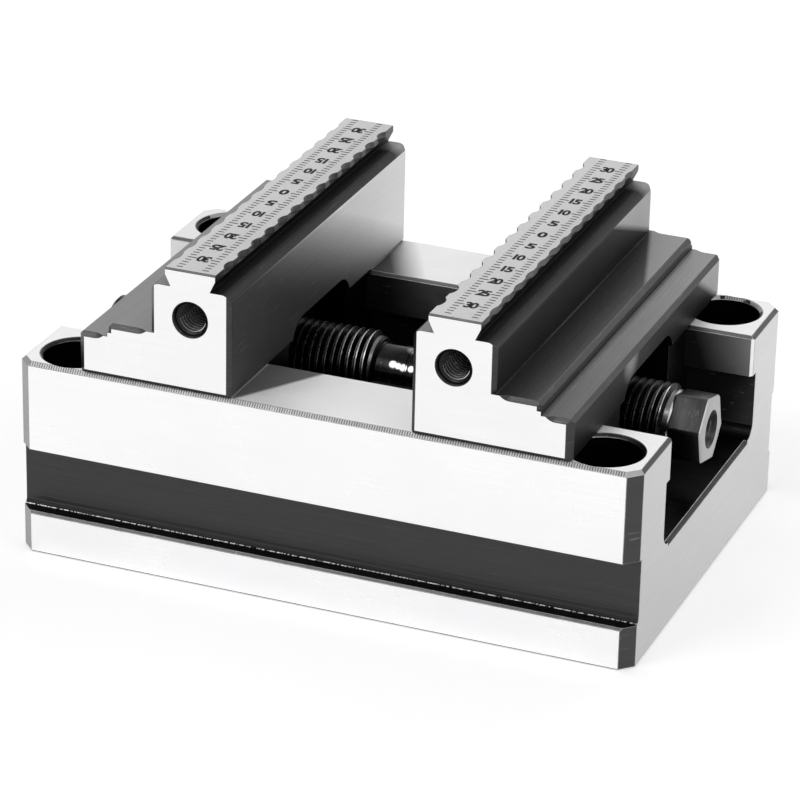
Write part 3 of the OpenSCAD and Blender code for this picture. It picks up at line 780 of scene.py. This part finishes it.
def jawRule(side):  # side is -1 for the left jaw and 1 for the right one
    def rule(centre, normal):
        look = jawShape
        x, y, z = centre.x * side, abs(centre.y), centre.z
        nx, ny, nz = normal.x * side, abs(normal.y), normal.z
        if z > look["top"] - near and nz > level:
            return "scaleFace"
        if ny > square and y > look["endFace"] and z > look["low"] - near:
            return "jawEnd"
        if z > look["shoulder"] + look["shoulderGap"]:
            return "notchWall" if z > look["bandLow"] and nz > -leaning else "underCut"
        if nx < -square and abs(x - look["inner"]) < near:
            return "clampFace"
        # Each shoulder is pale on its -X half and dark on the other: lit and shaded copies of one finish,
        # painted light and shade.
        if abs(z - look["shoulder"]) < look["shoulderReach"] and nz > level:
            return "shoulderLitCopy" if centre.x < side * look["headMiddle"] else "shoulder"
        if nx > square and abs(x - look["towerOut"]) < near:
            return "towerFace"
        # The right jaw's steps get the shaded copies and the left jaw's the lit copy: painted shade and
        # light.
        if nz > square and abs(z - look["stepOne"]) < near:
            return "stepOne" if side > 0 else "stepLitCopy"
        if nz > square and abs(z - look["stepTwo"]) < near:
            return "stepTwo" if side > 0 else "stepLitCopy"
        if nx > square and x > look["towerOut"] + look["stepReach"] and z > look["low"]:
            return "stepFace" if x < look["stepOneOut"] + near else "outerFace"
        fromHole = math.hypot(x - look["headMiddle"], z - holeShape["height"])
        if fromHole < holeShape["reach"] and y > holeShape["start"]:
            return "boreRim" if ny > leaning and y > holeShape["rimStart"] else "boreDark"
        if z > look["roundLow"] and abs(normal.x) > look["roundLean"] and nz > upright:
            return "shoulderRound"
        if z > look["low"] - near and y > look["footOut"] or z > look["tunnelTop"]:
            return "jawBevel"
        return "channelDark"
    return rule


def holeThread(name, side, end):
    look = holeShape
    half = look["pitch"] / 2
    base = look["wall"] + look["sink"]
    foot, crest = half * look["footShare"], half * look["crestShare"]
    outline = [(base, -foot, 0), (look["core"], -crest, 0), (look["core"], crest, 0), (base, foot, 0)]
    ridge = helixRidge(name, outline, "Y", look["pitch"], look["turns"], look["steps"])
    shift = look["inset"] * mm - min(point.co.y for point in ridge.data.vertices)
    for point in ridge.data.vertices:
        point.co.y += shift
        fromMouth = look["depth"] - point.co.y / mm
        radius = math.hypot(point.co.x, point.co.z)
        least = (look["mouth"] - max(fromMouth, 0)) * mm  # the ridge opens towards the countersink
        if radius < least:
            point.co.x *= least / radius
            point.co.z *= least / radius
        if fromMouth < look["mouthGap"]:
            point.co.y = (look["depth"] - look["mouthGap"]) * mm
    if end < 0:
        ridge.rotation_euler = (0, 0, math.pi)
    inner = jawShape["halfWidth"] - look["depth"] - look["under"]
    ridge.location = (side * jawShape["headMiddle"] * mm, end * inner * mm, look["height"] * mm)
    applyPlace(ridge)

    def ridgeRule(centre, normal):
        across, above = centre.x - side * jawShape["headMiddle"], centre.z - look["height"]
        # only the crests below the hole's axis get the pale finish that the key lamp lights: painted
        # highlight
        onCrest = math.hypot(across, above) < look["core"] + look["crestBand"]
        return "holeCrest" if onCrest and above < look["paleCrestHeight"] else "boreRim"

    giveFinishes(ridge, ["boreRim", "holeCrest"], ridgeRule)
    smoothByAngle(ridge, look["shadeAngle"])
    return ridge


for label, side in (("left", -1), ("right", 1)):
    jaw = dressedCopy(label + "_jaw", label + "JawBlock", jawFinishes, jawRule(side), jawShape["edgeWidth"],
                      "softEdge")
    growHole(jaw, side * jawShape["headMiddle"], holeShape["height"], holeShape["core"], holeShape["wall"])
    for point in jaw.data.vertices:
        if point.co.z > (jawShape["top"] - jawShape["topReach"]) * mm:
            point.co.z -= jawShape["markDepth"] * mm
    seat(jaw, label + "_carriage", "ground_steel", label + "_jaw")
    for endLabel, end in (("Front", -1), ("Rear", 1)):
        thread = holeThread(label + "HoleThread" + endLabel, side, end)
        seat(thread, label + "_carriage", "ground_steel")
print("jaws dressed")


# Millimetre scale on each jaw head

# Sizes in mm. shift: how far each scale lies from the middle of its jaw head, in x and y.
scaleShape = {"column": 2.6, "shortLine": 1.0, "longLine": 1.45, "lineWidth": 0.23, "lineBevel": 0.008,
              "reach": 34, "step": 5, "lastNumber": 30, "textSize": 3, "digitHeight": 2.2,
              "oneDigit": 1.5, "teens": 1.75, "twoDigits": 2.1, "bold": 0.12, "spacing": 0.76,
              "curveSteps": 4, "depth": 0.03, "weldGap": 0.0002,
              "shift": {"left": (-0.15, 0.3), "right": (0.45, 0.5)}}


def scaleLines(name, length, count, pitch, side):
    look = scaleShape
    deselectAll()
    bpy.ops.mesh.primitive_cube_add(size=1)
    line = bpy.context.object
    line.name = name
    line.scale = (length * mm, look["lineWidth"] * mm, look["depth"] * mm)
    line.location = ((jawShape["headMiddle"] + side * (look["column"] - length / 2)) * mm,
                     -(count - 1) / 2 * pitch * mm, (jawShape["top"] - look["depth"] / 2) * mm)
    applyPlace(line)
    editAll(line)
    bpy.ops.mesh.bevel(offset=look["lineBevel"] * mm, segments=1, affect="EDGES")
    endEdit()
    applyModifier(line, "ARRAY", count=count, use_relative_offset=False, use_constant_offset=True,
                  constant_offset_displace=(0, pitch * mm, 0))
    return line


def scaleNumber(number, place):
    look = scaleShape
    deselectAll()
    bpy.ops.object.text_add(location=(0, 0, 0))
    text = bpy.context.object
    text.name = "scaleNumber"
    text.data.body = str(number)
    text.data.size = look["textSize"] * mm
    text.data.offset = look["bold"] * mm
    text.data.space_character = look["spacing"]
    text.data.extrude = look["depth"] / 2 * mm
    text.data.resolution_u = look["curveSteps"]
    bpy.ops.object.convert(target="MESH")
    text = bpy.context.object
    xs = [point.co.x for point in text.data.vertices]
    ys = [point.co.y for point in text.data.vertices]
    wide = look["oneDigit"] if number < 10 else look["teens"] if number < 20 else look["twoDigits"]
    for point in text.data.vertices:
        point.co.x = (point.co.x - (max(xs) + min(xs)) / 2) * wide * mm / (max(xs) - min(xs))
        point.co.y = (point.co.y - (max(ys) + min(ys)) / 2) * look["digitHeight"] * mm / (max(ys) - min(ys))
    text.location = (jawShape["headMiddle"] * mm, place * mm, (jawShape["top"] - look["depth"] / 2) * mm)
    applyPlace(text)
    return text


def scaleMarks(label):
    look = scaleShape
    longCount = 2 * look["lastNumber"] // look["step"] + 1
    marks = []
    for side in (-1, 1):
        marks.append(scaleLines("shortLines", look["shortLine"], 2 * look["reach"] + 1, 1, side))
        marks.append(scaleLines("longLines", look["longLine"], longCount, look["step"], side))
    for place in range(-look["lastNumber"], look["lastNumber"] + 1, look["step"]):
        marks.append(scaleNumber(abs(place), place))
    joined = joinPieces(marks, label + "ScaleMarks")
    if label == "left":
        joined.rotation_euler = (0, 0, math.pi)
        applyPlace(joined)
    along, across = look["shift"][label]
    joined.location = (along * mm, across * mm, 0)
    applyPlace(joined)
    giveFinishes(joined, ["markPaint"], lambda centre, normal: "markPaint")
    outwardNormals(joined, look["weldGap"])
    return joined


for label in ("left", "right"):
    marks = scaleMarks(label)
    seat(marks, label + "_carriage", "black_steel")
print("scales marked")


# Lead screw

screwShape = {"height": 24.7, "crest": 6.0, "root": 5.235, "pitch": 1.25, "end": 49.8, "threadEnd": 44.6,
              "leftEnd": -47.3, "pilot": 4.4, "pilotBevel": 0.5, "neck": 4.3, "neckHalf": 4.0,
              "neckRound": 0.2, "shoulderBevel": 0.35, "leftBevel": 0.3, "rightDrop": 0.33, "gap": 0.02,
              "grooveAt": 1.2, "grooveMouth": 0.22, "grooveFloor": 0.12, "grooveDepth": 0.12,
              "rootReach": 0.05, "crestReach": 0.03, "brightCrestFrom": 41, "lastTurn": 1.1,
              "lastTurnSink": 0.2, "shadeAngle": 28}
ridgeShape = {"footShare": 0.416, "crestShare": 0.0625, "sink": 0.15, "spareTurns": 0.9, "steps": 56,
              "endGap": 0.05, "endRunout": 0.5, "endSlope": 1.5, "startRunout": 2.0}
hexShape = {"corner": 5.7735, "turn": -13.6, "bevel": 0.3, "sink": 0.3, "edgeWidth": 0.08,
            "edgeAngle": 20, "centre": 3.0, "centreAngle": 30, "centreOver": 0.5, "drill": 1.2,
            "drillWall": 1.4, "drillTip": 1.8, "steps": 64}


def screwShaft():
    look = screwShape
    end, left, right, gap = look["end"], look["leftEnd"], look["threadEnd"], look["gap"]
    pilot, pilotBevel, leftBevel = look["pilot"], look["pilotBevel"], look["leftBevel"]
    neck, root, half = look["neck"], look["root"], look["neckHalf"]
    bevel, turned = look["shoulderBevel"], look["neckRound"]
    groove, mouth, floor = look["grooveAt"], look["grooveMouth"], look["grooveFloor"]
    deep = neck - look["grooveDepth"]
    return lathe("screwShaft", [  # place and radius, from the left end to the right
        (-end, 0), (-end, pilot - pilotBevel), (pilotBevel - end, pilot),
        (left - gap, pilot), (left, root - leftBevel), (left + leftBevel, root),
        (-half - bevel, root), (-half, root - bevel), (-half, neck + turned), (turned - half, neck),
        (groove - mouth, neck), (groove - floor, deep), (groove + floor, deep), (groove + mouth, neck),
        (half - turned, neck), (half, neck + turned), (half, root - bevel), (half + bevel, root),
        (right - bevel, root), (right - gap, root - look["rightDrop"]), (right - gap, 0)])


def threadRidge(name, start, end, hand):
    look = ridgeShape
    pitch, root, crest = screwShape["pitch"], screwShape["root"], screwShape["crest"]
    foot, top, low = look["footShare"] * pitch, look["crestShare"] * pitch, root - look["sink"]
    outline = [(-foot, low, 0), (-foot, root, 0), (-top, crest, 0), (top, crest, 0), (foot, root, 0),
               (foot, low, 0)]
    turns = int((end - start) / pitch - look["spareTurns"])
    ridge = helixRidge(name, outline, "X", pitch, turns, look["steps"])
    if hand < 0:  # the other hand is the mirror image
        ridge.scale = (1, -1, 1)
        applyPlace(ridge)
        outwardNormals(ridge, meshCare["weldGap"])
    highest = max(point.co.x for point in ridge.data.vertices)
    for point in ridge.data.vertices:
        point.co.x += end * mm - look["endGap"] * mm - highest
    lowest = min(point.co.x for point in ridge.data.vertices) / mm

    def runout(x):  # the ridge sinks into the shaft at both ends
        pastEnd = max(0, x - (end - look["endRunout"]))
        beforeStart = max(0, lowest + look["startRunout"] - x)
        return crest - look["endSlope"] * pastEnd - beforeStart

    limitRadius(ridge, runout)
    return ridge


def screwHexagon():
    look = hexShape
    end = screwShape["end"]
    length = end - screwShape["threadEnd"] + look["sink"]
    deselectAll()
    bpy.ops.mesh.primitive_cylinder_add(vertices=6, radius=look["corner"] * mm, depth=length * mm,
                                        rotation=(0, math.pi / 2, 0))
    hexagon = bpy.context.object
    hexagon.name = "screwHexagon"
    applyPlace(hexagon)
    hexagon.rotation_euler = (math.radians(look["turn"]), 0, 0)
    applyPlace(hexagon)
    for edge in hexagon.data.edges:
        ends = [hexagon.data.vertices[index].co.x for index in edge.vertices]
        edge.select = min(ends) > 0
    bpy.ops.object.mode_set(mode="EDIT")
    bpy.ops.mesh.select_mode(type="EDGE")
    bpy.ops.mesh.bevel(offset=look["bevel"] * mm, segments=1, affect="EDGES")
    bpy.ops.mesh.select_mode(type="VERT")
    endEdit()
    applyModifier(hexagon, "BEVEL", width=look["edgeWidth"] * mm, segments=meshCare["edgeSegments"],
                  limit_method="ANGLE", angle_limit=math.radians(look["edgeAngle"]))
    shift = (end - length / 2) * mm
    for point in hexagon.data.vertices:
        point.co.x += shift
    slope = math.tan(math.radians(look["centreAngle"]))
    coneEnd = end - (look["centre"] - look["drill"]) / slope
    mouth = end + look["centreOver"]
    cutter = lathe("centreCutter", [
        (mouth, 0), (mouth, look["centre"] + look["centreOver"] * slope), (coneEnd, look["drill"]),
        (coneEnd - look["drillWall"], look["drill"]), (coneEnd - look["drillTip"], 0)], look["steps"])
    cutAway(hexagon, cutter)
    return hexagon


def screwRule(centre, normal):
    look = screwShape
    radius = math.hypot(centre.y, centre.z)
    if centre.x > look["threadEnd"] + look["gap"]:
        if normal.x > square:
            return "hexEnd"
        if radius < hexShape["centre"] + look["gap"]:
            return "centreWall"
        return "hexEnd" if normal.x > leaning else "hexFlat"
    if abs(centre.x) < look["neckHalf"] and radius < look["neck"] + near:
        return "neckSteel"
    # thread roots get a lighter line, a painted highlight; crests get pale tones, also painted highlights,
    # brightest near the hex, where wear adds to them
    if abs(radius - look["root"]) < look["rootReach"] and abs(normal.x) < leaning:
        return "threadRoot"
    if radius > look["crest"] - look["crestReach"]:
        return "crestWearAndSheen" if centre.x > look["brightCrestFrom"] else "threadCrest"
    if centre.x > look["threadEnd"] - look["lastTurn"] and radius > look["root"] - look["lastTurnSink"]:
        return "crestWearAndSheen"
    return "blackSteel"


screwParts = [
    screwShaft(),
    threadRidge("leftThread", screwShape["leftEnd"], -screwShape["neckHalf"], 1),
    threadRidge("rightThread", screwShape["neckHalf"], screwShape["threadEnd"], -1),
    screwHexagon(),
]
screw = joinPieces(screwParts, "leadScrewTurned")
screwFinishes = ["blackSteel", "threadRoot", "threadCrest", "crestWearAndSheen", "neckSteel", "hexFlat", "hexEnd",
                 "centreWall"]
giveFinishes(screw, screwFinishes, screwRule)
screw.location = (0, 0, screwShape["height"] * mm)
applyPlace(screw)
smoothByAngle(screw, screwShape["shadeAngle"])
seat(screw, "screw", "black_steel", "lead_screw")
print("lead screw turned")


# Nuts, centre block and cap screws

nutShape = {"bore": 6.05, "edgeWidth": 0.07}
capShape = {"edgeWidth": 0.07}


def nutRule(centre, normal):
    radius = math.hypot(centre.y, centre.z - screwShape["height"])
    return "boreDark" if radius < nutShape["bore"] + near and abs(normal.x) < level else "nutSteel"


nutPieces = {"left_nut": ("leftNutBlock", "left_carriage"), "right_nut": ("rightNutBlock", "right_carriage"),
             "centre_block": ("centreFork", "base")}
for node, (name, bodyName) in nutPieces.items():
    nut = dressedCopy(node, name, ["nutSteel", "boreDark"], nutRule, nutShape["edgeWidth"], "softEdge")
    seat(nut, bodyName, "nut_steel", node)

capScrews = {"block_screw_front": "base", "block_screw_rear": "base",
             "left_nut_screw_front": "left_carriage", "left_nut_screw_rear": "left_carriage",
             "right_nut_screw_front": "right_carriage", "right_nut_screw_rear": "right_carriage"}
for node, bodyName in capScrews.items():
    words = node.split("_")
    name = words[0] + "".join(word.capitalize() for word in words[1:])
    cap = dressedCopy(node, name, ["blackSteel"], lambda centre, normal: "blackSteel", capShape["edgeWidth"],
                      "softEdge")
    seat(cap, bodyName, "black_steel", node)
print("nuts, centre block and cap screws dressed")
